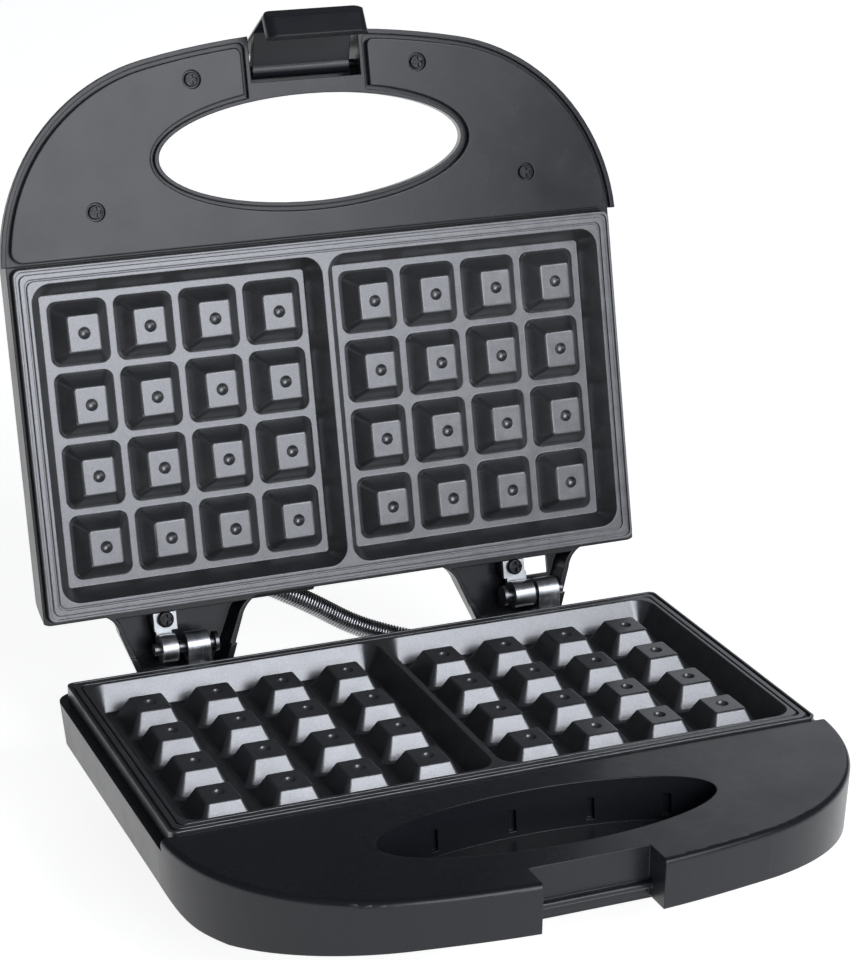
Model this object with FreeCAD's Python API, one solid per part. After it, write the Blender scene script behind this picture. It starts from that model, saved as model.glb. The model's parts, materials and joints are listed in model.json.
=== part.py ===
"""Two-slice clamshell waffle maker, lid open on its stop.  Millimetres, +Z up.

The base stands on four rubber feet at z = 0 and its handle points to -Y.  Each half is
drawn in a half frame: X across, V from the plate's centre towards the handle, D out of
the cooking face, with D = 0 at the tops of the grid blocks.  to_base and to_lid carry a
half to its place, so the two halves share the functions that draw them.
"""
import FreeCAD, Part
import math
import os
from FreeCAD import Vector as Vec

# ---- driving dimensions ---------------------------------------------------------------
FOOT_PLANE = 42.0          # height of the base's block tops above the surface
CENTRE_Y = -6.58           # row Y of the base plate's centre

HINGE_V = -77.75           # hinge axis, behind the plate's centre
HINGE_D = 1.7              # hinge axis, above the base's block tops
PLANE_GAP = 2.3            # block tops to block tops with the lid closed
OPEN_ANGLE = 102.8         # lid travel from closed to its stop

PLATE_W, PLATE_L = 229.0, 125.0
RIM_TOP, RIM_BOTTOM = 1.0, -3.8
FLOOR = -8.0               # bottom of the wells
PAN_BOTTOM = -11.0         # underside of the plate
PITCH_X, PITCH_V = 24.18, 25.54
FIRST_X = 18.53            # first block column from the plate's centre line
BLOCK_TOP = (11.7, 13.1)
BLOCK_FOOT = (20.8, 22.4)
BLOCK_FOOT_R = 3.0
DIMPLE_R = 2.15
DIMPLE_DEPTH = 1.5
WELL_IN, WELL_OUT = 1.1, 108.9
WELL_HALF = 56.9
WELL_DRAFT = 4.5           # how far the well's walls lean in at its floor
WELL_TOP_R, WELL_FLOOR_R = 7.0, 1.2
RIM_GROOVES = [(0.8, 2.0, 1.0), (3.7, 4.4, 0.8)]     # outer inset, inner inset, depth

HALF_W = 118.3             # half width of both housings
FRONT = 137.0              # front of the base's handle
LID_FRONT = 138.0          # front of the lid's handle
BACK = 65.5                # rear wall of the base
LID_BACK = 64.3            # rear wall of the lid
DECK_V = 63.6              # step from the plate's ledge up to the handle's deck
R_FRONT, R_SHOULDER = 300.0, 73.0
WALL = 2.4
FLANGE = -6.3              # underside of the flange that carries the plate
DECK = 0.3                 # top of the base handle
DECK_EDGE_R = 2.0
SKIRT_SIDE = -18.3         # lower edge of the base's wall beside the plate,
SKIRT_CORNER = -22.4       # at the handle's shoulders,
SKIRT_FRONT = -16.9        # and at the handle's middle
SKIRT_DRAFT = 1.2          # how far the wall leans in at its lowest edge
BASE_LEDGE = -3.8
LID_LEDGE = -2.5
LID_FLANK = 116.0          # half width of the lid's walls beside the plate
BRIM_INSET = 3.0           # how far the lid's walls lean in at the brim
BELLY = -38.0
DOME = -40.0
HANDLE_BACK = -18.0        # outer face of the lid's handle

HOLE_V, HOLE_A, HOLE_B = 96.0, 57.8, 19.2      # oval of both handles
RECESS_V, RECESS_FLOOR = 95.0, -15.0
RECESS_SLOTS = (-47.0, -22.5, 4.5, 33.0)       # upright slots in the recess's rear wall

NOTCH_HALF, NOTCH_V = 20.5, 125.0              # base notch that the latch swings in
SHELF_FRONT, SHELF_TOP, SHELF_BOTTOM = 127.2, -11.6, -14.0
GAP_HALF, GAP_V = 20.9, 120.5                  # lid gap that holds the latch
LATCH_HALF = 18.8
LATCH_PIN_V, LATCH_PIN_D, LATCH_PIN_R = 125.0, -8.0, 1.5
LATCH_SWING = 20.0         # hooked to free

PANEL_TOP, PANEL_T = 0.5, 2.4
PANEL_RIM = 2.0            # lid wall left standing outside the panel
PANEL_LIP = 1.5            # and beside the hole and the latch gap
PANEL_GROOVE = 1.5         # gap all round the panel
PANEL_START = 62.9
PANEL_GAP_R = 2.5          # corners beside the latch gap
PANEL_FOOT_R = 4.5         # corners beside the plate

EAR_X = 65.3
PIN_R = 2.2
KNUCKLE_R = 5.0
LEAF_T = 2.0
RUNNING = 0.06             # radial clearance of pins in moving knuckles

HEATER_R = 3.3
HEATER_D = PAN_BOTTOM - HEATER_R - 0.1
HEATER_LEAD_X, HEATER_V = 16.0, 40.0
REFLECTOR_TOP = -18.5
REFLECTOR_T = 0.8
POSTS = [(x, v) for x in (-62.0, 62.0) for v in (-26.0, 26.0)]
PANEL_SCREWS = [(-82.5, 80.0), (-43.0, 123.4), (43.0, 123.4), (82.5, 80.0)]
LENSES = {"power_lens": -13.0, "ready_lens": 13.0}
LENS_V = 20.0

SLEEVE_R = 4.0
SLEEVE_ROUTE = [           # from the base's rear wall round to the lid's, plate frame
    Vec(37, 58, -13.5), Vec(35, 74, -13.8), Vec(20, 88, -12.6), Vec(4, 91.5, -6.8),
    Vec(-12, 92, 4.2), Vec(-24, 92.8, 11.2), Vec(-33, 93.6, 16.2)]
SLEEVE_HOLE_X, SLEEVE_HOLE_D = 36.0, -13.6
LEAF_SCREW_V = -67.6
GLAND_X, GLAND_Z, GLAND_BORE = -38.0, -28.0, 3.4
FEET = [(-62.0, 52.0), (62.0, 52.0), (-70.0, -54.5), (70.0, -54.5)]     # x, v
FOOT_W, FOOT_L, FOOT_H = 24.0, 13.0, 4.0

# ---- outline helpers ------------------------------------------------------------------


def line(a, b):
    return Part.LineSegment(a, b).toShape()


def arc(centre, radius, start, end):
    """Arc in a plane of constant Z, angles in degrees."""
    def at(angle):
        a = math.radians(angle)
        return centre + Vec(radius * math.cos(a), radius * math.sin(a), 0)
    return Part.Arc(at(start), at((start + end) / 2), at(end)).toShape()


def rounded_rect(w, h, r, z, cx=0.0, cy=0.0):
    x, y = w / 2 - r, h / 2 - r
    edges = []
    for sx, sy, start in ((1, 1, 0), (-1, 1, 90), (-1, -1, 180), (1, -1, 270)):
        edges.append(arc(Vec(cx + sx * x, cy + sy * y, z), r, start, start + 90))
    wire = []
    for i, corner in enumerate(edges):
        following = edges[(i + 1) % 4]
        wire.append(corner)
        wire.append(line(corner.lastVertex().Point, following.firstVertex().Point))
    return Part.Wire(wire)


def outline(z, inset=0.0, front=FRONT, half=HALF_W, back=BACK, r_rear=13.0,
            r_shoulder=R_SHOULDER, r_front=R_FRONT):
    """Plan of a housing: one flat arc in front, two round shoulders, straight sides."""
    front, half, back = front - inset, half - inset, back - inset
    r_shoulder, r_front = r_shoulder - inset, r_front - inset
    r_rear = max(r_rear - inset, 1.0)
    cx = half - r_shoulder
    cy = front - r_front + math.sqrt((r_front - r_shoulder) ** 2 - cx ** 2)
    lean = math.degrees(math.atan2(cy - (front - r_front), cx))
    rear = Vec(half - r_rear, -back + r_rear, z)
    rear_left = Vec(-rear.x, rear.y, z)
    return Part.Wire([
        arc(Vec(0, front - r_front, z), r_front, lean, 180 - lean),
        arc(Vec(-cx, cy, z), r_shoulder, 180 - lean, 180),
        line(Vec(-half, cy, z), Vec(-half, rear.y, z)),
        arc(rear_left, r_rear, 180, 270),
        line(Vec(rear_left.x, -back, z), Vec(rear.x, -back, z)),
        arc(rear, r_rear, 270, 360),
        line(Vec(half, rear.y, z), Vec(half, cy, z)),
        arc(Vec(cx, cy, z), r_shoulder, 0, lean)])


def ellipse(a, b, v, z):
    return Part.Wire([Part.Ellipse(Vec(0, v, z), a, b).toShape()])


def loft(*wires):
    return Part.makeLoft(list(wires), True, True)


def box(x0, x1, y0, y1, z0, z1):
    return Part.makeBox(x1 - x0, y1 - y0, z1 - z0, Vec(x0, y0, z0))


def rod(r, start, end):
    return Part.makeCylinder(r, (end - start).Length, start, end - start)


def prism_x(points, x0, x1):
    """Solid from a closed outline of (v, d) points, from x0 to x1."""
    corners = [Vec(x0, v, d) for v, d in points]
    wire = Part.makePolygon(corners + corners[:1])
    return Part.Face(wire).extrude(Vec(x1 - x0, 0, 0))


def below_curve(poles, low):
    """Face in the plane of X and Y under one Bezier curve with level run-outs."""
    curve = Part.BezierCurve()
    curve.setPoles(poles)
    first, last = poles[0], poles[-1]
    reach = 200.0
    ends = [Vec(first.x - reach, first.y, 0), Vec(first.x - reach, low, 0),
            Vec(last.x + reach, low, 0), Vec(last.x + reach, last.y, 0)]
    return Part.Face(Part.Wire([
        line(ends[0], first), curve.toShape(), line(last, ends[3]),
        line(ends[3], ends[2]), line(ends[2], ends[1]), line(ends[1], ends[0])]))


def tube(points, r, bore=0.0):
    """Round tube along straight runs joined by the largest tangent arcs that fit."""
    edges = []
    at = points[0]
    for before, corner, after in zip(points, points[1:], points[2:]):
        back, ahead = before - corner, after - corner
        shorter = min(back.Length, ahead.Length)
        back.normalize()
        ahead.normalize()
        half_turn = (math.pi - back.getAngle(ahead)) / 2
        cut = 0.45 * shorter
        radius = cut / math.tan(half_turn)
        middle = (back + ahead).normalize()
        centre = corner + middle * (radius / math.cos(half_turn))
        start, end = corner + back * cut, corner + ahead * cut
        edges.append(line(at, start))
        edges.append(Part.Arc(start, centre - middle * radius, end).toShape())
        at = end
    edges.append(line(at, points[-1]))
    path = Part.Wire(edges)

    def sweep(radius):
        heading = points[1] - points[0]
        ring = Part.Wire([Part.Circle(points[0], heading, radius).toShape()])
        return path.makePipeShell([ring], True, False)
    solid = sweep(r)
    return solid.cut(sweep(bore)) if bore else solid


# ---- placing and writing --------------------------------------------------------------
nodes = {}


def to_row(shape):
    shape = shape.copy()
    shape.translate(Vec(0, CENTRE_Y, FOOT_PLANE))
    return shape


def to_base(shape):
    """Half frame to plate frame: the handle turns to -Y."""
    shape = shape.copy()
    shape.rotate(Vec(0, 0, 0), Vec(0, 0, 1), 180)
    return shape


def to_lid(shape):
    """Half frame to plate frame: swung up about the hinge to the open stop."""
    shape = shape.copy()
    shape.translate(Vec(0, -HINGE_V, HINGE_D - PLANE_GAP))
    shape.rotate(Vec(0, 0, 0), Vec(1, 0, 0), 180 - OPEN_ANGLE)
    shape.translate(Vec(0, -HINGE_V, HINGE_D))
    return shape


def add(name, shape):
    nodes[name] = to_row(shape)


# ---- waffle plate, the same casting in both halves --------------------------------------


def grid_block():
    top = rounded_rect(*BLOCK_TOP, 1.0, 0.0)
    foot = rounded_rect(*BLOCK_FOOT, BLOCK_FOOT_R, FLOOR)
    block = loft(foot, top)
    crown = [e for e in block.Edges if min(v.Z for v in e.Vertexes) > -0.01]
    block = block.makeFillet(0.9, crown)
    spread = 0.9
    skirt = loft(rounded_rect(BLOCK_FOOT[0] + spread, BLOCK_FOOT[1] + spread,
                              BLOCK_FOOT_R + 0.4, FLOOR),
                 rounded_rect(BLOCK_FOOT[0] - spread, BLOCK_FOOT[1] - spread,
                              BLOCK_FOOT_R - 0.4, FLOOR + 0.8))
    ball_r = (DIMPLE_R ** 2 + DIMPLE_DEPTH ** 2) / (2 * DIMPLE_DEPTH)
    dimple = Part.makeSphere(ball_r, Vec(0, 0, ball_r - DIMPLE_DEPTH))
    return block.fuse(skirt).cut(dimple)


def well(side):
    width = WELL_OUT - WELL_IN
    cx = side * (WELL_IN + WELL_OUT) / 2
    top_wire = rounded_rect(width, 2 * WELL_HALF, WELL_TOP_R, RIM_TOP, cx)
    floor_wire = rounded_rect(width - 2 * WELL_DRAFT, 2 * (WELL_HALF - WELL_DRAFT),
                              WELL_FLOOR_R, FLOOR, cx)
    return loft(floor_wire, top_wire)


def ring_groove(outer_inset, inner_inset, depth):
    def slab(inset):
        wire = rounded_rect(PLATE_W - 2 * inset, PLATE_L - 2 * inset, 2.6, RIM_TOP - depth)
        return Part.Face(wire).extrude(Vec(0, 0, depth + 1))
    return slab(outer_inset).cut(slab(inner_inset))


def waffle_plate():
    rim = loft(rounded_rect(PLATE_W, PLATE_L, 2.6, RIM_BOTTOM),
               rounded_rect(PLATE_W, PLATE_L, 2.6, RIM_TOP))
    pan = loft(rounded_rect(214, 110, 5.0, PAN_BOTTOM), rounded_rect(218, 114, 6.0, RIM_BOTTOM))
    plate = rim.fuse(pan)
    plate = plate.cut([well(-1), well(1)])
    plate = plate.cut([ring_groove(*groove) for groove in RIM_GROOVES])
    block = grid_block()
    blocks = []
    for side in (-1, 1):
        for column in range(4):
            for row in range(4):
                copy = block.copy()
                copy.translate(Vec(side * (FIRST_X + column * PITCH_X),
                                   (row - 1.5) * PITCH_V, 0))
                blocks.append(copy)
    bosses = [rod(4.0, Vec(x, v, REFLECTOR_TOP), Vec(x, v, PAN_BOTTOM + 1)) for x, v in POSTS]
    plate = plate.fuse(blocks + bosses).removeSplitter()
    return plate.cut([rod(2.0, Vec(x, v, REFLECTOR_TOP - 1), Vec(x, v, PAN_BOTTOM + 0.5))
                      for x, v in POSTS])


def heater():
    """Sheathed element in one flat loop, with both cold ends turned down."""
    x, v, lead = 90.0, HEATER_V, HEATER_LEAD_X
    end_d = HEATER_D - 14
    route = [Vec(-lead, v, end_d), Vec(-lead, v, HEATER_D), Vec(-x, v, HEATER_D),
             Vec(-x, -v, HEATER_D), Vec(x, -v, HEATER_D), Vec(x, v, HEATER_D),
             Vec(lead, v, HEATER_D), Vec(lead, v, end_d)]
    edges = []
    at = route[0]
    for before, corner, after in zip(route, route[1:], route[2:]):
        back, ahead = before - corner, after - corner
        back.normalize()
        ahead.normalize()
        radius = 12.0 if abs(before.z - after.z) < 1 else 6.0
        middle = (back + ahead).normalize()
        start, end = corner + back * radius, corner + ahead * radius
        mid = corner + middle * (radius * (math.sqrt(2) - 1))
        edges.append(line(at, start))
        edges.append(Part.Arc(start, mid, end).toShape())
        at = end
    edges.append(line(at, route[-1]))
    ring = Part.Wire([Part.Circle(route[0], Vec(0, 0, 1), HEATER_R).toShape()])
    body = Part.Wire(edges).makePipeShell([ring], True, False)
    pins = [rod(1.4, Vec(s * lead, v, end_d - 4), Vec(s * lead, v, end_d)) for s in (-1, 1)]
    return body.fuse(pins)


def reflector():
    low = REFLECTOR_TOP - REFLECTOR_T
    width, length, corner = 194.0, 94.0, 12.0
    gauge = 2 * REFLECTOR_T
    tray = loft(rounded_rect(width, length, corner, low),
                rounded_rect(width, length, corner, low + 6))
    inner = loft(rounded_rect(width - gauge, length - gauge, corner - 0.8, REFLECTOR_TOP),
                 rounded_rect(width - gauge, length - gauge, corner - 0.8, low + 7))
    holes = [rod(2.2, Vec(x, v, low - 1), Vec(x, v, low + 2)) for x, v in POSTS]
    holes += [rod(HEATER_R + 1, Vec(s * HEATER_LEAD_X, HEATER_V, low - 1),
                  Vec(s * HEATER_LEAD_X, HEATER_V, low + 2)) for s in (-1, 1)]
    holes.append(rod(9.5, Vec(0, 0, low - 1), Vec(0, 0, low + 2)))
    return tray.cut(inner).cut(holes)


def cross_recess(r, depth, at, axis=Vec(0, 0, 1)):
    """Cross-head driver recess cut down from the point at."""
    arm = 0.55
    arms = [box(-r, r, -arm, arm, -depth, 0.5), box(-arm, arm, -r, r, -depth, 0.5)]
    cutter = arms[0].fuse(arms[1])
    cutter.Placement = FreeCAD.Placement(at, FreeCAD.Rotation(Vec(0, 0, 1), axis))
    return cutter


def pan_screw(at, axis, head_r, head_h, shank_r, length):
    """Pan head screw: at is the centre of the head's seat, axis points out of the head."""
    head = Part.makeCylinder(head_r, head_h, at, axis)
    rim = [e for e in head.Edges if e.Curve.TypeId == "Part::GeomCircle"
           and (e.Curve.Center - at).Length > head_h / 2]
    head = head.makeFillet(head_h * 0.45, rim)
    shank = Part.makeCylinder(shank_r, length, at, axis * -1)
    return head.fuse(shank).cut(cross_recess(head_r * 0.7, head_h * 0.6, at + axis * head_h, axis))


# ---- base housing ---------------------------------------------------------------------


def plate_pocket():
    seat = loft(rounded_rect(PLATE_W + 0.6, PLATE_L + 0.8, 2.9, RIM_BOTTOM),
                rounded_rect(PLATE_W + 0.6, PLATE_L + 0.8, 2.9, 6.0))
    opening = loft(rounded_rect(219.6, 115.6, 6.8, PAN_BOTTOM - 1),
                   rounded_rect(219.6, 115.6, 6.8, 0.0))
    return seat.fuse(opening)


def wall_inset(d):
    """How far the base's drafted outer wall has leaned in at height d."""
    return SKIRT_DRAFT * (DECK - d) / (DECK - SKIRT_CORNER)


def base_outer():
    """Drafted wall and deck; the wall's lower edge dips at the handle's shoulders."""
    body = loft(outline(SKIRT_CORNER, SKIRT_DRAFT), outline(DECK, r_rear=7.0))
    deck_edge = [e for e in body.Edges if min(v.Z for v in e.Vertexes) > DECK - 0.01]
    body = body.makeFillet(DECK_EDGE_R, deck_edge)
    dip_start, dip_end = 57.0, 87.0
    ease = 12.0
    side = below_curve([Vec(dip_start, SKIRT_SIDE, 0), Vec(dip_start + ease, SKIRT_SIDE, 0),
                        Vec(dip_end - ease, SKIRT_CORNER, 0), Vec(dip_end, SKIRT_CORNER, 0)], -60)
    side.rotate(Vec(0, 0, 0), Vec(1, 1, 1), 120)
    side.translate(Vec(-HALF_W - 10, 0, 0))
    side = side.extrude(Vec(2 * HALF_W + 20, 0, 0)).common(box(-200, 200, -200, dip_end, -80, 0))
    rise = [Vec(40.0, SKIRT_FRONT, 0), Vec(70.0, SKIRT_FRONT, 0), Vec(88.0, -18.4, 0),
            Vec(107.0, SKIRT_CORNER, 0)]
    front = below_curve(rise, -60)
    front.rotate(Vec(0, 0, 0), Vec(1, 0, 0), 90)
    front.translate(Vec(0, dip_end, 0))
    front = front.extrude(Vec(0, 100, 0)).common(box(0, 200, 0, 200, -80, 0))
    return body.cut([side, front, front.mirror(Vec(0, 0, 0), Vec(1, 0, 0))])


def stop_block(side):
    """Rear block that carries the hinge leaf and that the ear leans on."""
    x = side * EAR_X
    return box(x - 13, x + 13, -75.0, -BACK + 3, -18.0, -8.0)


def base_shell():
    body = base_outer()
    ledge = box(-130, 130, -80, DECK_V, BASE_LEDGE, 5)
    low = SKIRT_CORNER - 2
    cavity = loft(outline(low, wall_inset(low) + WALL, r_rear=14),
                  outline(FLANGE, wall_inset(FLANGE) + WALL, r_rear=14))
    under_deck = loft(outline(FLANGE - 1, WALL), outline(DECK - 2.6, WALL))
    under_deck = under_deck.common(box(-130, 130, 66.0, 140, -20, DECK))
    cavity = cavity.fuse(under_deck)
    recess_wall = loft(ellipse(HOLE_A - 1 + WALL, HOLE_B - 1 + WALL, RECESS_V, RECESS_FLOOR - 2),
                       ellipse(HOLE_A + 0.5 + WALL, HOLE_B + 0.5 + WALL, RECESS_V, DECK))
    notch_wall = box(-NOTCH_HALF - WALL, NOTCH_HALF + WALL, NOTCH_V - WALL, 140, -30, DECK)
    cavity = cavity.cut([recess_wall, notch_wall])
    body = body.cut(cavity)
    recess = loft(ellipse(HOLE_A - 1, HOLE_B - 1, RECESS_V, RECESS_FLOOR),
                  ellipse(HOLE_A + 0.6, HOLE_B + 0.6, RECESS_V, DECK + 1))
    notch = box(-NOTCH_HALF, NOTCH_HALF, NOTCH_V, 145, -40, 5)
    slot_reach = loft(ellipse(HOLE_A + 0.5, HOLE_B + 0.5, RECESS_V, RECESS_FLOOR),
                      ellipse(HOLE_A + 2.1, HOLE_B + 2.1, RECESS_V, DECK + 1))
    slots = [box(x - 1.3, x + 1.3, RECESS_V - HOLE_B - 6, RECESS_V - 8, -13.0, -5.8)
             .common(slot_reach) for x in RECESS_SLOTS]
    body = body.cut([ledge, plate_pocket(), recess, notch] + slots)
    shelf = box(-NOTCH_HALF, NOTCH_HALF, NOTCH_V - 1, SHELF_FRONT, SHELF_BOTTOM, SHELF_TOP)
    lip = [e for e in shelf.Edges if min(v.Y for v in e.Vertexes) > SHELF_FRONT - 0.01
           and e.Length > NOTCH_HALF]
    shelf = shelf.makeFillet(1.1, lip)
    body = body.fuse([shelf] + [stop_block(s) for s in (-1, 1)]).removeSplitter()
    sleeve_hole = rod(6.5, Vec(-SLEEVE_HOLE_X, -BACK - 5, SLEEVE_HOLE_D),
                      Vec(-SLEEVE_HOLE_X, -55, SLEEVE_HOLE_D))
    return body.cut(sleeve_hole)


def belly(offset):
    """Tapered underside with a long slope up to the handle's front, shrunk by offset."""
    top, low = 4.1 + offset, 24.5 + offset
    open_top = -12.0 + (20.0 if offset else 0.0)
    body = loft(outline(open_top, top, back=66.0, r_rear=20.1),
                outline(-16.0, top, back=66.0, r_rear=20.1),
                outline(BELLY + offset, low, back=86.0, r_rear=34.5))
    slope_v, slope_d, rise = 132.4, -16.0, 20.0
    below = box(-200, 200, -300, 100, -100, 0)
    below.rotate(Vec(0, 0, 0), Vec(1, 0, 0), rise)
    below.translate(Vec(0, slope_v, slope_d + offset / math.cos(math.radians(rise))))
    return body.cut(below)


def bottom_cover():
    body = belly(0).cut(belly(WALL))
    notch = box(-NOTCH_HALF - WALL - 0.3, NOTCH_HALF + WALL + 0.3, NOTCH_V - WALL - 0.3, 140,
                -40, 5)
    towers = [rod(5.0, Vec(x, v, BELLY + 1), Vec(x, v, REFLECTOR_TOP - REFLECTOR_T))
              for x, v in POSTS]
    bores = []
    for x, v in POSTS:
        bores.append(rod(2.2, Vec(x, v, BELLY), Vec(x, v, 0)))
        bores.append(rod(4.0, Vec(x, v, BELLY - 1), Vec(x, v, -26.0)))
    bores += [rod(2.6, Vec(x, v, BELLY - 1), Vec(x, v, BELLY + 5)) for x, v in FEET]
    vents = [box(x - 1.25, x + 1.25, v, v + 22, BELLY - 1, BELLY + 4)
             for x in range(-40, 41, 8) for v in (-20, 14)]
    gland_hole = rod(6.0, Vec(-GLAND_X, -70, GLAND_Z), Vec(-GLAND_X, -50, GLAND_Z))
    stops = [box(s * EAR_X - 13.4, s * EAR_X + 13.4, -80, -BACK + 3.4, -18.4, -5)
             for s in (-1, 1)]
    sleeve = rod(8.4, Vec(-SLEEVE_HOLE_X, -70, SLEEVE_HOLE_D),
                 Vec(-SLEEVE_HOLE_X, -50, SLEEVE_HOLE_D))
    body = body.fuse(towers).cut(bores + vents + stops + [notch, gland_hole, sleeve])
    front = outline_front_trim()
    return body.cut(front)


def outline_front_trim():
    """Space of the notch walls and the finger recess, kept clear in the cover."""
    return loft(ellipse(HOLE_A + 2.2, HOLE_B + 2.2, RECESS_V, RECESS_FLOOR - 2.4),
                ellipse(HOLE_A + 3.4, HOLE_B + 3.4, RECESS_V, 0))


def feet():
    pads = []
    for x, v in FEET:
        pad = loft(rounded_rect(FOOT_W - 0.8, FOOT_L - 0.8, 3.0, BELLY - FOOT_H, x, v),
                   rounded_rect(FOOT_W, FOOT_L, 3.4, BELLY, x, v))
        peg = rod(2.6, Vec(x, v, BELLY), Vec(x, v, BELLY + 4.5))
        pads.append(pad.fuse(peg))
    return pads


# ---- lid housing ----------------------------------------------------------------------


def ear(side):
    """Hinge ear: side walls flaring into the housing, a back wall, open in front."""
    x = side * EAR_X

    lean_left, lean_right = (0.0, 2.2) if side < 0 else (2.2, 1.2)

    def plan(inset, z):
        root, waist, hem = 31.5 - inset, 23.8 - inset, 17.6 - inset
        end = -90.0 + inset
        pts = [Vec(x - root, -63.0, z), Vec(x - waist + lean_left / 2, -71.0, z),
               Vec(x - hem + lean_left, end, z), Vec(x + hem - lean_right, end, z),
               Vec(x + waist - lean_right / 2, -71.0, z), Vec(x + root, -63.0, z)]
        sides = [
            Part.Arc(pts[0], Vec(x - waist - 2.0, -66.0, z), pts[1]).toShape(),
            line(pts[1], pts[2]), line(pts[2], pts[3]), line(pts[3], pts[4]),
            Part.Arc(pts[4], Vec(x + waist + 2.0, -66.0, z), pts[5]).toShape(),
            line(pts[5], pts[0])]
        return Part.Wire(sides)
    outer = loft(plan(1.6, -13.0), plan(0.0, -1.0))
    inner = loft(plan(3.2, -11.2), plan(1.7, 0.0))
    inner = inner.cut(box(x - 40, x + 40, -68.0 + 2.9, -50, -20, 5))
    boss = rod(4.4, Vec(x + leaf_screw_dx(side), LEAF_SCREW_V, -12.0),
               Vec(x + leaf_screw_dx(side), LEAF_SCREW_V, leaf_back()))
    return outer, inner, boss


def leaf_screw_dx(side):
    """The lid leaf's screw, from the ear's centre line."""
    return -6.5 if side < 0 else 0.3


def leaf_back():
    """Half-frame D of the lid leaf's rear face, in line with the back of its knuckle."""
    return PLANE_GAP - HINGE_D - KNUCKLE_R


def lid_outline(z, inset=0.0, **shape):
    return outline(z, inset, front=LID_FRONT, back=LID_BACK, **shape)


def lid_outer():
    brim = HANDLE_BACK + 2.5
    rim = loft(lid_outline(brim, BRIM_INSET, r_rear=8.0),
               lid_outline(LID_LEDGE, 0.3, r_rear=5.0))
    deck = loft(lid_outline(LID_LEDGE, 0.3, r_rear=5.0), lid_outline(0.0, 0.3, r_rear=5.0))
    edge = loft(lid_outline(HANDLE_BACK, BRIM_INSET + 2.8, r_rear=8.0),
                lid_outline(brim, BRIM_INSET, r_rear=8.0))
    dome = loft(outline(DOME, 0, 58.0, 88.0, 48.0, 14.0, 25.0, 240.0),
                outline(DOME + 3, 0, 61.0, 91.5, 52.0, 14.5, 27.0, 245.0),
                outline(DOME + 10, 0, 66.0, 98.0, 57.5, 15.0, 30.0, 255.0),
                outline(HANDLE_BACK + 3, 0, 77.0, 111.0, 62.0, 16.0, 36.0, 270.0))
    body = rim.fuse([deck, edge, dome]).removeSplitter()
    beyond = HALF_W + 5
    flank = [Vec(LID_FLANK, -100, 0), Vec(LID_FLANK, -100, LID_LEDGE),
             Vec(HALF_W - BRIM_INSET, -100, brim), Vec(beyond, -100, brim), Vec(beyond, -100, 0)]
    relief = Part.Face(Part.makePolygon(flank + flank[:1])).extrude(Vec(0, 100 + DECK_V, 0))
    return body.cut([relief, relief.mirror(Vec(0, 0, 0), Vec(1, 0, 0))])


def lid_cavity():
    rim = loft(lid_outline(HANDLE_BACK + WALL, 7.0 + WALL, r_rear=12),
               lid_outline(FLANGE, 2.6 + WALL, r_rear=12))
    dome = loft(outline(DOME + WALL, 0, 56.0, 86.0, 46.0, 12.0, 23.0, 240.0),
                outline(DOME + 10, 0, 66.0 - WALL, 98.0 - WALL, 57.5 - WALL, 13.0, 28.0, 250.0),
                outline(HANDLE_BACK + 3, 0, 77.0 - WALL, 111.0 - WALL, 62.0 - WALL, 14.0, 34.0,
                        266.0))
    return rim.fuse(dome)


def panel_region(groove, depth, top):
    """The handle panel's pocket, or with a groove all round it, the panel itself."""
    slab = Part.Face(lid_outline(top - depth, PANEL_RIM + groove)).extrude(Vec(0, 0, depth))
    slab = slab.common(box(-130, 130, PANEL_START + groove, 150, -50, 50))
    lip = PANEL_LIP + groove
    slab = slab.cut(loft(ellipse(HOLE_A + lip, HOLE_B + lip, HOLE_V, -20),
                         ellipse(HOLE_A + lip, HOLE_B + lip, HOLE_V, 20)))
    slab = slab.cut(box(-GAP_HALF - lip, GAP_HALF + lip, HOLE_V, 150, -20, 20))
    return slab.makeFillet(PANEL_GAP_R, corner_edges(slab, GAP_HALF + lip, HOLE_V + 30))


def corner_edges(slab, reach, beyond):
    """Upright edges of a slab at x = +-reach and further forward than beyond."""
    return [e for e in slab.Edges if abs(e.Vertexes[0].X - e.Vertexes[-1].X) < 0.01
            and abs(e.Vertexes[0].Y - e.Vertexes[-1].Y) < 0.01
            and abs(abs(e.Vertexes[0].X) - reach) < 0.01 and e.Vertexes[0].Y > beyond]


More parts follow.
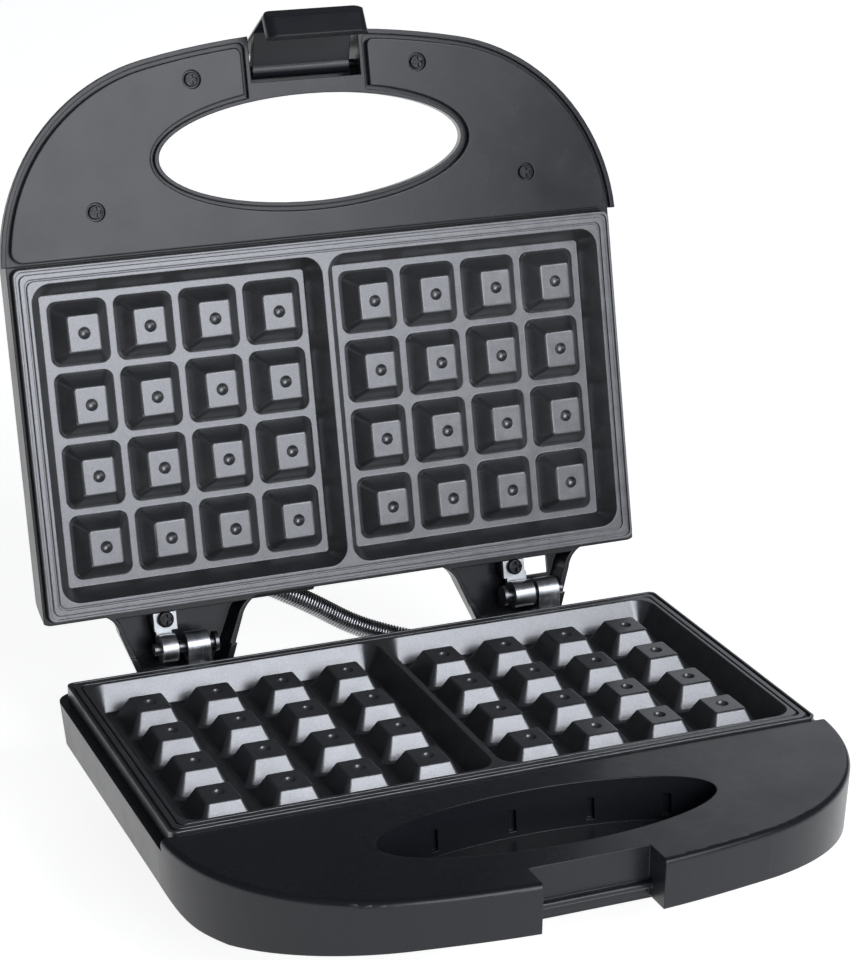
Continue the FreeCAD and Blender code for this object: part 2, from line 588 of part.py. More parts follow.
def lid_shell():
    body = lid_outer()
    cavity = lid_cavity()
    hole_wall = loft(ellipse(HOLE_A + 8 + WALL, HOLE_B + 1 + WALL, HOLE_V, HANDLE_BACK - 6),
                     ellipse(HOLE_A + WALL, HOLE_B + WALL, HOLE_V, 0))
    gap_wall = box(-GAP_HALF - WALL, GAP_HALF + WALL, GAP_V - WALL, 145, -40, 5)
    bosses = [rod(4.2, Vec(x, v, -12), Vec(x, v, 0)) for x, v in PANEL_SCREWS]
    cavity = cavity.cut([hole_wall, gap_wall] + bosses)
    ears = [ear(s) for s in (-1, 1)]
    body = body.fuse([e[0] for e in ears])
    body = body.cut([cavity] + [e[1] for e in ears])
    body = body.fuse([e[2] for e in ears])
    ledge = box(-130, 130, -80, DECK_V, LID_LEDGE, 5)
    hole = loft(ellipse(HOLE_A + 8, HOLE_B + 1, HOLE_V, HANDLE_BACK - 6),
                ellipse(HOLE_A, HOLE_B, HOLE_V, 0.0), ellipse(HOLE_A, HOLE_B, HOLE_V, 1.0))
    gap = box(-GAP_HALF, GAP_HALF, GAP_V, 145, -50, 5)
    pocket = panel_region(0.0, PANEL_T + 10, PANEL_TOP + 10)
    cuts = [ledge, plate_pocket(), hole, gap, pocket]
    cuts += [rod(1.5, Vec(x, v, -11), Vec(x, v, 0)) for x, v in PANEL_SCREWS]
    cuts.append(rod(LATCH_PIN_R, Vec(-GAP_HALF - 1.5, LATCH_PIN_V, LATCH_PIN_D),
                    Vec(GAP_HALF + 1.5, LATCH_PIN_V, LATCH_PIN_D)))
    cuts += [rod(4.1, Vec(x, LENS_V, DOME - 1), Vec(x, LENS_V, DOME + 4)) for x in LENSES.values()]
    for side in (-1, 1):
        at = Vec(side * EAR_X + leaf_screw_dx(side), LEAF_SCREW_V, -12)
        cuts.append(rod(1.4, at + Vec(0, 0, 1.5), at + Vec(0, 0, 14)))
    cuts.append(prism_x([(-73.5, -14), (-73.5, -9), (-66.5, -9), (-66.5, -14)], EAR_X + 6,
                        EAR_X + 18))
    gap_back = box(-GAP_HALF - 1, GAP_HALF + 1, GAP_V - 1, LATCH_PIN_V + 1, -15.5, -12.5)
    return body.cut(cuts).fuse(gap_back).removeSplitter()


def handle_panel():
    panel = panel_region(PANEL_GROOVE, PANEL_T, PANEL_TOP)
    feet = [e for e in panel.Edges if abs(e.Vertexes[0].Z - e.Vertexes[-1].Z) > PANEL_T - 0.01
            and max(v.Y for v in e.Vertexes) < PANEL_START + PANEL_GROOVE + 0.01]
    panel = panel.makeFillet(PANEL_FOOT_R, feet)
    rim = [e for e in panel.Edges if min(v.Z for v in e.Vertexes) > PANEL_TOP - 0.01]
    panel = panel.makeFillet(0.5, rim)
    holes = []
    for x, v in PANEL_SCREWS:
        holes.append(rod(1.7, Vec(x, v, -5), Vec(x, v, 5)))
        holes.append(rod(3.3, Vec(x, v, PANEL_TOP - 1.3), Vec(x, v, 5)))
    return panel.cut(holes)


# ---- hinges ---------------------------------------------------------------------------
# knuckle spans along X, as (lid leaf, base leaf, pin) for each side
KNUCKLES = {
    "left": ((-75.6, -69.8), (-66.4, -58.0), (-78.0, -55.6)),
    "right": ((62.5, 70.5), (71.8, 80.3), (60.0, 83.0))}


def hinge_axis(x):
    return Vec(x, -HINGE_V, HINGE_D)


def knuckle(span, r):
    return rod(r, hinge_axis(span[0]), hinge_axis(span[1]))


def base_leaf(side):
    """Knuckle, upright strap and a foot screwed down on the stop block."""
    (x0, x1) = KNUCKLES[side][1]
    y, z = -HINGE_V, HINGE_D
    strap = box(x0, x1, y - KNUCKLE_R, y - KNUCKLE_R + LEAF_T, -8.0, z)
    foot = box(x0, x1, BACK + 0.4, y - KNUCKLE_R + 1, -8.0, -8.0 + LEAF_T)
    leaf = knuckle((x0, x1), KNUCKLE_R).fuse([strap, foot]).removeSplitter()
    hole = rod(1.8, Vec((x0 + x1) / 2, BACK + 4.0, -9), Vec((x0 + x1) / 2, BACK + 4.0, -5))
    return leaf.cut([knuckle((x0 - 1, x1 + 1), PIN_R), hole])


def lid_leaf(side):
    """Knuckle and flat plate of the lid, drawn in the half frame."""
    (x0, x1) = KNUCKLES[side][0]
    sign = -1 if side == "left" else 1
    screw_x = sign * EAR_X + leaf_screw_dx(sign)
    axis_d = PLANE_GAP - HINGE_D
    barrel = rod(KNUCKLE_R, Vec(x0, HINGE_V, axis_d), Vec(x1, HINGE_V, axis_d))
    strap = box(x0, x1, HINGE_V, -70.0, leaf_back(), leaf_back() + LEAF_T)
    pad = box(screw_x - 4.3, screw_x + 4.3, -71.8, -65.2, leaf_back(), leaf_back() + LEAF_T)
    leaf = barrel.fuse([strap, pad]).removeSplitter()
    bore = rod(PIN_R + RUNNING, Vec(x0 - 1, HINGE_V, axis_d), Vec(x1 + 1, HINGE_V, axis_d))
    hole = rod(1.6, Vec(screw_x, LEAF_SCREW_V, -10), Vec(screw_x, LEAF_SCREW_V, 5))
    return leaf.cut([bore, hole])


def lid_leaf_screws():
    screws = []
    for sign in (-1, 1):
        seat = Vec(sign * EAR_X + leaf_screw_dx(sign), LEAF_SCREW_V, leaf_back() + LEAF_T)
        screws.append(pan_screw(seat, Vec(0, 0, 1), 3.0, 1.8, 1.35, 7.0))
    return screws


def base_leaf_screws():
    screws = []
    for side in KNUCKLES:
        x = sum(KNUCKLES[side][1]) / 2
        screws.append(pan_screw(Vec(x, BACK + 4.0, -6.0), Vec(0, 0, 1), 2.8, 1.6, 1.5, 2.0))
    return screws


def hinge_pins():
    pins = []
    for side in KNUCKLES:
        x0, x1 = KNUCKLES[side][2]
        head = (x1, x1 + 1.4) if side == "left" else (x0 - 1.4, x0)
        pins.append(knuckle((x0, x1), PIN_R).fuse(knuckle(head, 3.8)).removeSplitter())
    return pins


# ---- latch ----------------------------------------------------------------------------


def swing_latch(shape):
    """Hooked position to the free one."""
    shape = shape.copy()
    shape.rotate(Vec(0, LATCH_PIN_V, LATCH_PIN_D), Vec(1, 0, 0), -LATCH_SWING)
    return shape


def latch():
    """Hook, front plate, and a web back to the barrel on the latch pin."""
    face, inner = FRONT, FRONT - 2.8
    hook_top = PLANE_GAP - SHELF_BOTTOM + 0.3
    hook_end = hook_top + 4.5
    reach, tail = NOTCH_V + 0.6, -21.0
    profile = [(inner, -15.0), (inner + 1.6, tail), (face + 1.8, tail), (face, -15.0),
               (face, hook_end - 4.2), (face - 4.0, hook_end), (reach, hook_end),
               (reach, hook_top + 0.8), (reach + 0.9, hook_top), (inner, hook_top)]
    plate = prism_x(profile, -LATCH_HALF, LATCH_HALF)
    mask = Part.Face(rounded_rect(2 * LATCH_HALF, hook_end - tail, 3.2, 0, 0, (hook_end + tail) / 2))
    mask.rotate(Vec(0, 0, 0), Vec(1, 0, 0), 90)
    mask.translate(Vec(0, NOTCH_V - 5, 0))
    plate = plate.common(mask.extrude(Vec(0, 30, 0)))
    crown_w, crown_r, crown_l = 2 * LATCH_HALF, 3.2, 30.0
    front = face - crown_l / 2
    flare = loft(rounded_rect(crown_w, crown_l, crown_r, tail, 0, front + 1.8),
                 rounded_rect(crown_w, crown_l, crown_r, -15.0, 0, front))
    crown = loft(rounded_rect(crown_w, crown_l, crown_r, -15.0, 0, front),
                 rounded_rect(crown_w, crown_l, crown_r, hook_end, 0, front))
    plate = plate.common(crown.fuse(flare))
    barrel_half, barrel_r = LATCH_HALF - 0.3, 3.2
    web = prism_x([(LATCH_PIN_V, LATCH_PIN_D + barrel_r), (LATCH_PIN_V + 2, LATCH_PIN_D + 0.8),
                   (inner + 0.5, 1.6), (inner + 0.5, 5.2)], -barrel_half, barrel_half)
    pin0 = Vec(-barrel_half, LATCH_PIN_V, LATCH_PIN_D)
    pin1 = Vec(barrel_half, LATCH_PIN_V, LATCH_PIN_D)
    body = plate.fuse([web, rod(barrel_r, pin0, pin1)]).removeSplitter()
    bore = rod(LATCH_PIN_R + RUNNING, pin0 - Vec(1, 0, 0), pin1 + Vec(1, 0, 0))
    return swing_latch(body.cut(bore))


def latch_pin():
    end = GAP_HALF + 1.4
    return rod(LATCH_PIN_R, Vec(-end, LATCH_PIN_V, LATCH_PIN_D), Vec(end, LATCH_PIN_V, LATCH_PIN_D))


# ---- electrics ------------------------------------------------------------------------


def thermostat():
    body = rod(8.0, Vec(0, 0, PAN_BOTTOM), Vec(0, 0, PAN_BOTTOM - 7))
    cap = rod(6.5, Vec(0, 0, PAN_BOTTOM - 7), Vec(0, 0, PAN_BOTTOM - 13))
    tabs = [box(s * 4 - 0.4, s * 4 + 0.4, -3, 3, PAN_BOTTOM - 19, PAN_BOTTOM - 12.5)
            for s in (-1, 1)]
    return body.fuse([cap] + tabs)


def thermal_fuse():
    start = Vec(26, -8, -22.5)
    body = rod(2.4, start, start + Vec(12, 0, 0))
    leads = [rod(0.6, start - Vec(8, 0, 0), start), rod(0.6, start + Vec(12, 0, 0),
                                                        start + Vec(20, 0, 0))]
    return body.fuse(leads)


def terminal_block():
    low = BELLY + WALL
    body = box(-46, -20, 26, 42, low, low + 11)
    wells = [rod(2.2, Vec(x, 34, low + 6), Vec(x, 34, low + 12)) for x in (-41, -33, -25)]
    return body.cut(wells)


def cord_gland():
    """Flanged gland in the rear of the bottom cover; the mains cord runs in its bore."""
    y = 61.8
    barrel = rod(5.95, Vec(GLAND_X, y - 10, GLAND_Z), Vec(GLAND_X, y + 2, GLAND_Z))
    flange = rod(8.0, Vec(GLAND_X, y + 1.2, GLAND_Z), Vec(GLAND_X, y + 3.6, GLAND_Z))
    nose = Part.makeCone(6.6, 5.2, 5.0, Vec(GLAND_X, y + 3.6, GLAND_Z), Vec(0, 1, 0))
    bore = rod(GLAND_BORE, Vec(GLAND_X, y - 12, GLAND_Z), Vec(GLAND_X, y + 12, GLAND_Z))
    return barrel.fuse([flange, nose]).removeSplitter().cut(bore)


def base_bush():
    x, z = SLEEVE_HOLE_X, SLEEVE_HOLE_D
    barrel = rod(6.5, Vec(x, BACK - 6, z), Vec(x, BACK, z))
    flange = rod(8.2, Vec(x, BACK, z), Vec(x, BACK + 1.8, z))
    return barrel.fuse(flange).cut(tube(SLEEVE_ROUTE, SLEEVE_R + 0.2))


def lid_bush():
    """Saddle grommet on the lid's rear wall, bored along the sleeve."""
    low = -65.5
    saddle = box(-38.0, -13.5, low, -LID_BACK + 4.5, -17.5, -5.0)
    corners = [e for e in saddle.Edges if abs(e.CenterOfMass.y - low) < 0.01]
    saddle = saddle.makeFillet(1.0, corners).cut([lid_outer(), ear(-1)[0]])
    return to_lid(saddle).cut(tube(SLEEVE_ROUTE, SLEEVE_R + 0.35))


def wire_sleeve():
    return tube(SLEEVE_ROUTE, SLEEVE_R)


def lens(x):
    cap = rod(5.2, Vec(x, LENS_V, DOME), Vec(x, LENS_V, DOME - 0.9))
    return cap.fuse(rod(4.0, Vec(x, LENS_V, DOME), Vec(x, LENS_V, DOME + 4.5)))


def indicator_lamps():
    return [rod(2.6, Vec(x, LENS_V, DOME + 5), Vec(x, LENS_V, DOME + 14))
            for x in LENSES.values()]


# ---- assembly -------------------------------------------------------------------------
plate = waffle_plate()
element = heater()
tray = reflector()
sleeve_cut = tube(SLEEVE_ROUTE, SLEEVE_R + 0.6)

add("base_shell", to_base(base_shell()))
add("bottom_cover", to_base(bottom_cover()))
add("rubber_feet", Part.makeCompound([to_base(f) for f in feet()]))
add("lower_plate", to_base(plate))
add("lower_heater", to_base(element))
add("lower_reflector", to_base(tray))
add("cover_screws", Part.makeCompound([
    pan_screw(Vec(x, v, -26.0), Vec(0, 0, -1), 3.6, 2.6, 1.95, 13.5) for x, v in POSTS]))
add("thermostat", thermostat())
add("thermal_fuse", thermal_fuse())
add("terminal_block", terminal_block())
add("cord_gland", cord_gland())
add("sleeve_bush_base", base_bush())
add("hinge_leaf_base_left", base_leaf("left"))
add("hinge_leaf_base_right", base_leaf("right"))
add("base_leaf_screws", Part.makeCompound(base_leaf_screws()))
add("hinge_pins", Part.makeCompound(hinge_pins()))
add("wire_sleeve", wire_sleeve())

add("lid_shell", to_lid(lid_shell()).cut(sleeve_cut))
add("handle_panel", to_lid(handle_panel()))
add("panel_screws", Part.makeCompound([
    to_lid(pan_screw(Vec(x, v, PANEL_TOP - 1.3), Vec(0, 0, 1), 2.6, 1.0, 1.45, 8.0))
    for x, v in PANEL_SCREWS]))
add("upper_plate", to_lid(plate))
add("upper_heater", to_lid(element))
add("upper_reflector", to_lid(tray))
add("upper_plate_screws", Part.makeCompound([
    to_lid(pan_screw(Vec(x, v, REFLECTOR_TOP - REFLECTOR_T), Vec(0, 0, -1), 3.6, 2.2, 1.95, 7.0))
    for x, v in POSTS]))
add("hinge_leaf_lid_left", to_lid(lid_leaf("left")))
add("hinge_leaf_lid_right", to_lid(lid_leaf("right")))
add("lid_leaf_screws", Part.makeCompound([to_lid(s) for s in lid_leaf_screws()]))
add("sleeve_bush_lid", lid_bush())
add("latch_pin", to_lid(latch_pin()))
for lens_name, lens_x in LENSES.items():
    add(lens_name, to_lid(lens(lens_x)))
add("indicator_lamps", Part.makeCompound([to_lid(s) for s in indicator_lamps()]))

add("latch", to_lid(latch()))

os.makedirs("parts", exist_ok=True)
for name, shape in nodes.items():
    shape.exportStep("parts/%s.step" % name)
    flaw = "" if shape.isValid() else "  NOT VALID"
    print("%-24s %3d solids %10.1f mm3%s" % (name, len(shape.Solids), shape.Volume, flaw))
whole = Part.makeCompound(list(nodes.values())).BoundBox
print("box", whole)
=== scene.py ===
"""Looks of the two-slice clamshell waffle maker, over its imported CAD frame.

Lengths are metres in the row frame.  The CAD nodes keep their shapes and get procedural
materials; the wire sleeve is wound here from its spring wire and stands in for its tube.
"""

import json
import math

import bpy
from mathutils import Euler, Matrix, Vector


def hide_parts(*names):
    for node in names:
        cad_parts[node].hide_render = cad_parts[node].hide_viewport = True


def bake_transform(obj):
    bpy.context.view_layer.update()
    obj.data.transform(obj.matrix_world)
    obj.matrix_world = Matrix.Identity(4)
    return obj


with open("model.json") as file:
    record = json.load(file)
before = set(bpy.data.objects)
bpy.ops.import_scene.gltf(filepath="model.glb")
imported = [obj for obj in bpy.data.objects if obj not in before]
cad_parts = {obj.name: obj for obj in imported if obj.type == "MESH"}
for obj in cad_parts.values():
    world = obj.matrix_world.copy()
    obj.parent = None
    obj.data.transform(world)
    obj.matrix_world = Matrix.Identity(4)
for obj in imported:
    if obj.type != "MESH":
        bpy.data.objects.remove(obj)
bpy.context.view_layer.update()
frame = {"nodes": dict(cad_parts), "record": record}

MM = 0.001


# ---- camera ---------------------------------------------------------------------------
CAMERA_AT = Vector((-0.3235, -0.8040, 0.4270))
CAMERA_ELEVATION = 20.07
CAMERA_AZIMUTH = 22.48       # degrees round to the left of the object's front
CAMERA_LENS = 102.06
CAMERA_SHIFT = (-0.0263, 0.0319)


def make_camera():
    data = bpy.data.cameras.new("camera")
    data.lens = CAMERA_LENS
    data.sensor_width = 36.0
    data.shift_x, data.shift_y = CAMERA_SHIFT
    data.clip_start = 0.05
    data.clip_end = 60.0
    camera = bpy.data.objects.new("camera", data)
    camera.location = CAMERA_AT
    turn = (90.0 - CAMERA_ELEVATION, 0.0, -CAMERA_AZIMUTH)
    camera.rotation_euler = Euler([math.radians(a) for a in turn], "XYZ")
    bpy.context.collection.objects.link(camera)
    bpy.context.scene.camera = camera


# ---- studio ---------------------------------------------------------------------------
FRONT_RADIANCE = 5.2
HIGH_RADIANCE = 7.0
REAR_RADIANCE = 0.9
WORLD_RADIANCE = 0.10
FLOOR_GLOW = 0.88


def area_light(name, at, aim, width, height, power, tint=(1.0, 1.0, 1.0)):
    data = bpy.data.lights.new(name, "AREA")
    data.shape = "RECTANGLE"
    data.size, data.size_y = width, height
    data.energy = power
    data.color = tint
    light = bpy.data.objects.new(name, data)
    light.location = at
    light.rotation_euler = (Vector(aim) - Vector(at)).to_track_quat("-Z", "Y").to_euler()
    bpy.context.collection.objects.link(light)


def panel_power(radiance, width, height):
    """Watts that make an area light look that bright."""
    return radiance * math.pi * width * height


def make_studio():
    lid_middle = (0.0, 0.10, 0.16)
    base_middle = (0.0, 0.0, 0.04)
    cool = (0.93, 0.96, 1.0)
    area_light("front_softbox", (0.18, -1.55, 0.60), lid_middle, 1.0, 0.8,
               panel_power(FRONT_RADIANCE, 1.0, 0.8), cool)
    area_light("high_softbox", (0.75, -1.40, 1.15), base_middle, 0.9, 0.6,
               panel_power(HIGH_RADIANCE, 0.9, 0.6), cool)
    area_light("rear_panel", (1.20, 1.40, 0.80), base_middle, 0.8, 0.9,
               panel_power(REAR_RADIANCE, 0.8, 0.9), cool)
    world = bpy.data.worlds.new("studio")
    world.use_nodes = True
    background = world.node_tree.nodes["Background"]
    background.inputs["Color"].default_value = (0.85, 0.90, 1.0, 1.0)
    background.inputs["Strength"].default_value = WORLD_RADIANCE
    bpy.context.scene.world = world
    bpy.context.scene.view_settings.view_transform = "Standard"


def make_floor():
    """Pale translucent sheet, lit evenly from below like a light table."""
    side = 12.0
    mesh = bpy.data.meshes.new("floor")
    corners = [(-side, -side, 0), (side, -side, 0), (side, side, 0), (-side, side, 0)]
    mesh.from_pydata(corners, [], [(0, 1, 2, 3)])
    floor = bpy.data.objects.new("floor", mesh)
    bpy.context.collection.objects.link(floor)
    look = Look("floor_sheet", Roughness=0.9, Emission_Color=(1.0, 1.0, 1.0, 1.0),
                Emission_Strength=FLOOR_GLOW)
    grain = look.noise(40.0, 3.0)
    look.colour(look.ramp(grain, ((0.3, (0.54, 0.54, 0.54)), (0.7, (0.57, 0.57, 0.57)))))
    mesh.materials.append(look.material)


# ---- material building ----------------------------------------------------------------
class Look:
    """One procedural material on object coordinates; Name_With_Underscores sets a socket."""

    def __init__(self, name, **sockets):
        self.material = bpy.data.materials.new(name)
        self.material.use_nodes = True
        self.tree = self.material.node_tree
        self.shader = self.tree.nodes["Principled BSDF"]
        for key, value in sockets.items():
            self.shader.inputs[key.replace("_", " ")].default_value = value
        self.place = self.tree.nodes.new("ShaderNodeTexCoord").outputs["Object"]

    def node(self, kind, **inputs):
        made = self.tree.nodes.new(kind)
        for key, value in inputs.items():
            socket = made.inputs[key.replace("_", " ")]
            self.feed(socket, value)
        return made

    def feed(self, socket, value):
        if isinstance(value, bpy.types.NodeSocket):
            self.tree.links.new(value, socket)
        else:
            socket.default_value = value

    def noise(self, scale, detail=2.0, rough=0.5, stretch=None):
        """Noise with that many features in a metre."""
        place = self.place
        if stretch:
            mapping = self.node("ShaderNodeMapping", Vector=place, Scale=stretch)
            place = mapping.outputs["Vector"]
        made = self.node("ShaderNodeTexNoise", Vector=place, Scale=scale, Detail=detail,
                         Roughness=rough)
        return made.outputs["Fac"]

    def flecks(self, scale, size):
        """1 inside small round flecks, 0 between them."""
        cells = self.node("ShaderNodeTexVoronoi", Vector=self.place, Scale=scale)
        return self.ramp(cells.outputs["Distance"], ((size * 0.6, (1, 1, 1)), (size, (0, 0, 0))))

    def ramp(self, value, stops):
        made = self.node("ShaderNodeValToRGB", Fac=value)
        elements = made.color_ramp.elements
        while len(elements) < len(stops):
            elements.new(0.5)
        for element, (at, colour) in zip(elements, stops):
            element.position = at
            element.color = (*colour, 1.0)
        return made.outputs["Color"]

    def span(self, value, low, high, start=0.3, end=0.7):
        """Value between start and end spread over low to high."""
        made = self.node("ShaderNodeMapRange", Value=value)
        for key, number in (("From Min", start), ("From Max", end), ("To Min", low),
                            ("To Max", high)):
            made.inputs[key].default_value = number
        return made.outputs["Result"]

    def maths(self, operation, a, b):
        made = self.tree.nodes.new("ShaderNodeMath")
        made.operation = operation
        self.feed(made.inputs[0], a)
        self.feed(made.inputs[1], b)
        return made.outputs["Value"]

    def blend(self, factor, a, b):
        made = self.tree.nodes.new("ShaderNodeMix")
        made.data_type = "RGBA"
        self.feed(made.inputs["Factor"], factor)
        self.feed(made.inputs["A"], a)
        self.feed(made.inputs["B"], b)
        return made.outputs["Result"]

    def colour(self, value):
        self.feed(self.shader.inputs["Base Color"], value)

    def roughness(self, value):
        self.feed(self.shader.inputs["Roughness"], value)

    def relief(self, *layers, edge=0.0):
        """Bump layers as (height, depth in metres), over edges rounded by edge metres."""
        normal = None
        if edge:
            rounded = self.node("ShaderNodeBevel", Radius=edge)
            rounded.samples = 6
            normal = rounded.outputs["Normal"]
        for height, depth in layers:
            bump = self.node("ShaderNodeBump", Height=height, Distance=depth)
            if normal:
                self.feed(bump.inputs["Normal"], normal)
            normal = bump.outputs["Normal"]
        self.feed(self.shader.inputs["Normal"], normal)


def moulded_plastic(name, dark, light, rough, edge):
    """Black injection moulded plastic: fine spark texture, sink waves and faint smudges."""
    look = Look(name, Specular_IOR_Level=0.36)
    cloud = look.noise(14.0, 4.0, 0.6)
    look.colour(look.ramp(cloud, ((0.3, dark), (0.72, light))))
    smudge = look.noise(38.0, 5.0, 0.65)
    grain = look.noise(5200.0, 1.0)
    look.roughness(look.maths("ADD", look.span(smudge, rough - 0.04, rough + 0.05),
                              look.span(grain, -0.02, 0.02)))
    wave = look.noise(26.0, 1.0)
    look.relief((wave, 0.05 * MM), (grain, 0.006 * MM), edge=edge)
    return look.material


def black_housing():
    return moulded_plastic("black_housing", (0.0105, 0.011, 0.0145), (0.0140, 0.0148, 0.0185),
                           0.28, 0.6 * MM)


def handle_panel():
    return moulded_plastic("handle_panel", (0.0125, 0.0132, 0.0170), (0.0160, 0.0172, 0.0215),
                           0.25, 0.6 * MM)


def nonstick_plate():
    """Sprayed non-stick coat on cast aluminium, with metallic flecks in a dark grey film."""
    look = Look("nonstick_plate", Metallic=0.85)
    grain = look.noise(2000.0, 2.0, 0.6)
    mottle = look.noise(160.0, 4.0, 0.6)
    coat = look.ramp(mottle, ((0.3, (0.145, 0.146, 0.154)), (0.7, (0.180, 0.181, 0.190))))
    fine = look.ramp(grain, ((0.3, (0.80, 0.80, 0.80)), (0.7, (1.0, 1.0, 1.0))))
    mixed = look.tree.nodes.new("ShaderNodeMix")
    mixed.data_type = "RGBA"
    mixed.blend_type = "MULTIPLY"
    mixed.inputs["Factor"].default_value = 1.0
    look.feed(mixed.inputs["A"], coat)
    look.feed(mixed.inputs["B"], fine)
    fleck = look.flecks(1700.0, 0.16)
    look.colour(look.blend(fleck, mixed.outputs["Result"], (0.26, 0.26, 0.27, 1.0)))
    look.roughness(look.span(mottle, 0.30, 0.37))
    look.relief((mottle, 0.03 * MM), (grain, 0.012 * MM), edge=0.5 * MM)
    return look.material


def plated_steel(name, light, dark, rough, edge=0.25 * MM):
    """Zinc plated or bright steel sheet, with rolling lines and dull patches."""
    look = Look(name, Metallic=1.0)
    patch = look.noise(220.0, 4.0, 0.6)
    lines = look.noise(1600.0, 2.0, 0.5, stretch=(1.0, 0.06, 0.06))
    look.colour(look.ramp(patch, ((0.3, dark), (0.7, light))))
    look.roughness(look.maths("ADD", look.span(patch, rough - 0.05, rough + 0.08),
                              look.span(lines, -0.05, 0.05)))
    look.relief((lines, 0.01 * MM), (patch, 0.01 * MM), edge=edge)
    return look.material


def zinc_steel():
    return plated_steel("zinc_steel", (0.50, 0.51, 0.53), (0.36, 0.37, 0.39), 0.34)


def pin_steel():
    return plated_steel("pin_steel", (0.20, 0.20, 0.21), (0.12, 0.12, 0.13), 0.34)


def thermostat_steel():
    return plated_steel("thermostat_steel", (0.62, 0.61, 0.58), (0.48, 0.47, 0.44), 0.30)


def element_steel():
    return plated_steel("element_steel", (0.30, 0.28, 0.26), (0.16, 0.15, 0.15), 0.42)


def reflector_aluminium():
    return plated_steel("reflector_aluminium", (0.80, 0.80, 0.81), (0.66, 0.66, 0.67), 0.30)


def sleeve_steel():
    """Bright spring wire, in lighter and darker patches."""
    look = Look("sleeve_steel", Metallic=1.0)
    patch = look.noise(300.0, 3.0)
    look.colour(look.ramp(patch, ((0.3, (0.26, 0.265, 0.275)), (0.7, (0.42, 0.425, 0.44)))))
    look.roughness(look.span(patch, 0.18, 0.26))
    look.relief((look.noise(4000.0, 1.0), 0.01 * MM))
    return look.material


def black_screw():
    """Black oxide steel: satin, with the oxide rubbed thin in places."""
    look = Look("black_screw", Metallic=0.9)
    rub = look.noise(900.0, 3.0)
    look.colour(look.ramp(rub, ((0.45, (0.020, 0.020, 0.022)), (0.8, (0.06, 0.06, 0.064)))))
    look.roughness(look.span(rub, 0.28, 0.42))
    look.relief((rub, 0.02 * MM), edge=0.2 * MM)
    return look.material


def ceramic():
    look = Look("ceramic", Coat_Weight=0.4, Coat_Roughness=0.15)
    cloud = look.noise(300.0, 3.0)
    look.colour(look.ramp(cloud, ((0.3, (0.70, 0.68, 0.62)), (0.7, (0.80, 0.78, 0.73)))))
    look.roughness(look.span(cloud, 0.35, 0.5))
    look.relief((cloud, 0.03 * MM), edge=0.3 * MM)
    return look.material


def rubber():
    look = Look("rubber", Specular_IOR_Level=0.3)
    dust = look.noise(420.0, 5.0, 0.7)
    look.colour(look.ramp(dust, ((0.4, (0.014, 0.014, 0.014)), (0.8, (0.035, 0.034, 0.033)))))
    look.roughness(look.span(dust, 0.62, 0.80))
    look.relief((look.noise(2500.0, 2.0), 0.03 * MM), edge=0.4 * MM)
    return look.material


def lens(name, deep, pale):
    """Moulded clear plastic lens with a fluted inside that scatters the lamp's light."""
    look = Look(name, Transmission_Weight=0.7, IOR=1.49)
    flute = look.noise(1400.0, 1.0, 0.5, stretch=(1.0, 0.1, 1.0))
    look.colour(look.ramp(flute, ((0.35, deep), (0.65, pale))))
    look.roughness(look.span(flute, 0.10, 0.22))
    look.relief((flute, 0.05 * MM), edge=0.3 * MM)
    return look.material


def red_lens():
    return lens("red_lens", (0.50, 0.012, 0.012), (0.72, 0.03, 0.025))


def green_lens():
    return lens("green_lens", (0.015, 0.36, 0.05), (0.03, 0.55, 0.10))


def lamp_glass():
    return lens("lamp_glass", (0.85, 0.78, 0.70), (0.92, 0.88, 0.82))


LOOKS = (black_housing, handle_panel, nonstick_plate, zinc_steel, pin_steel, thermostat_steel,
         element_steel, reflector_aluminium, sleeve_steel, black_screw, ceramic, rubber,
         red_lens, green_lens, lamp_glass)


def dress_nodes(materials):
    """Gives each CAD node the material of its slot in the record."""
    for part in frame["record"]["subparts"]:
        shown = frame["nodes"][part["node"]]
        shown.data.materials.clear()
        shown.data.materials.append(materials[part["material_slot"]])


# ---- wire sleeve ----------------------------------------------------------------------
SLEEVE_ROUTE = [Vector(point) * MM for point in (
    (37, 51.42, 28.5), (35, 67.42, 28.2), (20, 81.42, 29.4), (4, 84.92, 35.2),
    (-12, 85.42, 46.2), (-24, 86.22, 53.2), (-33, 87.02, 58.2))]
SLEEVE_R = 4.0 * MM
WIRE_R = 0.56 * MM
WIRE_PITCH = 1.16 * MM
STEPS_PER_TURN = 26
WIRE_SIDES = 6


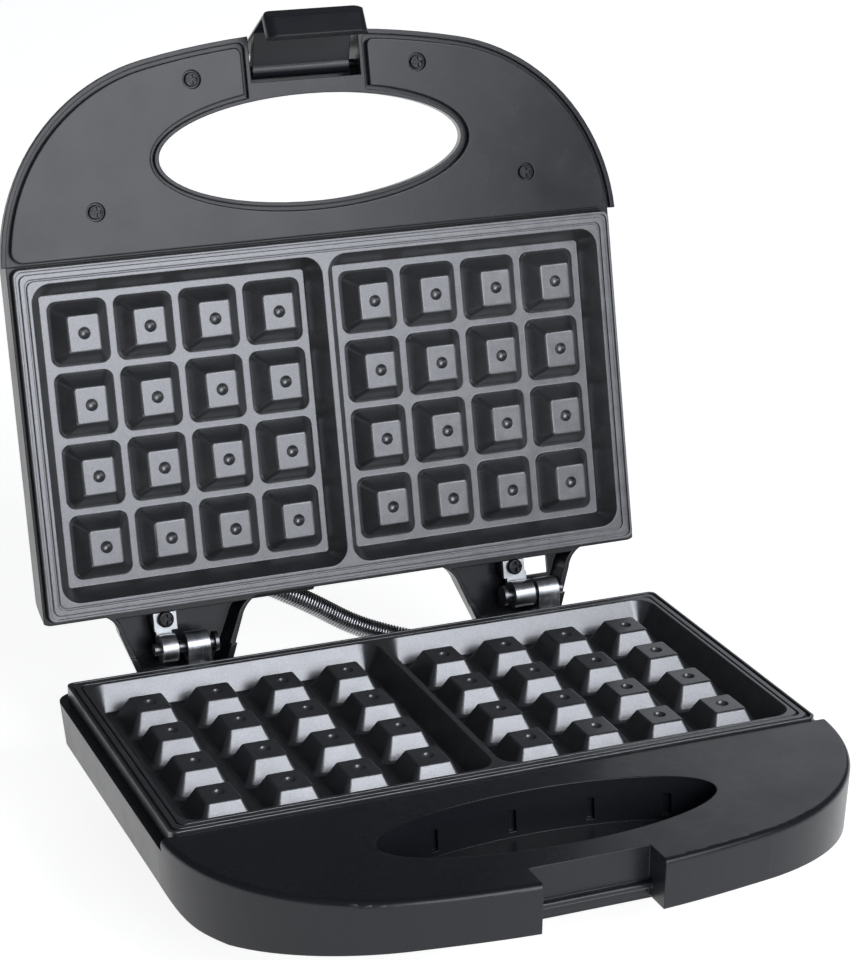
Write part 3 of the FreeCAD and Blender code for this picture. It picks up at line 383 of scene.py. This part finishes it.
def sleeve_line():
    """Points of the sleeve's smooth centreline, read from its NURBS spline."""
    curve = bpy.data.curves.new("sleeve_route", "CURVE")
    curve.dimensions = "3D"
    spline = curve.splines.new("NURBS")
    spline.points.add(len(SLEEVE_ROUTE) - 1)
    for point, at in zip(spline.points, SLEEVE_ROUTE):
        point.co = (*at, 1.0)
    spline.order_u = 3
    spline.use_endpoint_u = True
    spline.resolution_u = 40
    holder = bpy.data.objects.new("sleeve_route", curve)
    bpy.context.collection.objects.link(holder)
    line = [v.co.copy() for v in bpy.data.meshes.new_from_object(holder).vertices]
    bpy.data.objects.remove(holder)
    return line


def walk(line, step):
    """Places one step apart on a line, each with its heading and a steady side direction."""
    places = []
    side = Vector((0.0, 0.0, 1.0))
    left = 0.0
    for start, end in zip(line, line[1:]):
        run = (end - start).length
        heading = (end - start).normalized()
        side = (side - heading * side.dot(heading)).normalized()
        while left <= run:
            places.append((start + heading * left, heading, side.copy()))
            left += step
        left -= run
    return places


def wind_sleeve(material):
    """Close-wound spring: one wire in a helix round the sleeve's centreline."""
    verts, faces = [], []
    places = walk(sleeve_line(), WIRE_PITCH / STEPS_PER_TURN)
    for count, (at, heading, side) in enumerate(places):
        turn = 2 * math.pi * count / STEPS_PER_TURN
        out = side * math.cos(turn) + heading.cross(side) * math.sin(turn)
        middle = at + out * (SLEEVE_R - WIRE_R)
        for k in range(WIRE_SIDES):
            a = 2 * math.pi * k / WIRE_SIDES
            verts.append(middle + (out * math.cos(a) + heading * math.sin(a)) * WIRE_R)
    for count in range(len(places) - 1):
        here, there = count * WIRE_SIDES, (count + 1) * WIRE_SIDES
        for k in range(WIRE_SIDES):
            after = (k + 1) % WIRE_SIDES
            faces.append((here + k, there + k, there + after, here + after))
    faces.append(tuple(range(WIRE_SIDES)))
    faces.append(tuple(reversed(range(len(verts) - WIRE_SIDES, len(verts)))))
    mesh = bpy.data.meshes.new("wound_sleeve")
    mesh.from_pydata(verts, [], faces)
    for face in mesh.polygons:
        face.use_smooth = True
    mesh.materials.append(material)
    sleeve = bpy.data.objects.new("wound_sleeve", mesh)
    bpy.context.collection.objects.link(sleeve)
    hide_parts("wire_sleeve")
    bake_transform(sleeve)


# ---- making ---------------------------------------------------------------------------
make_camera()
make_studio()
make_floor()
MATERIALS = {make.__name__: make() for make in LOOKS}
dress_nodes(MATERIALS)
wind_sleeve(MATERIALS["sleeve_steel"])
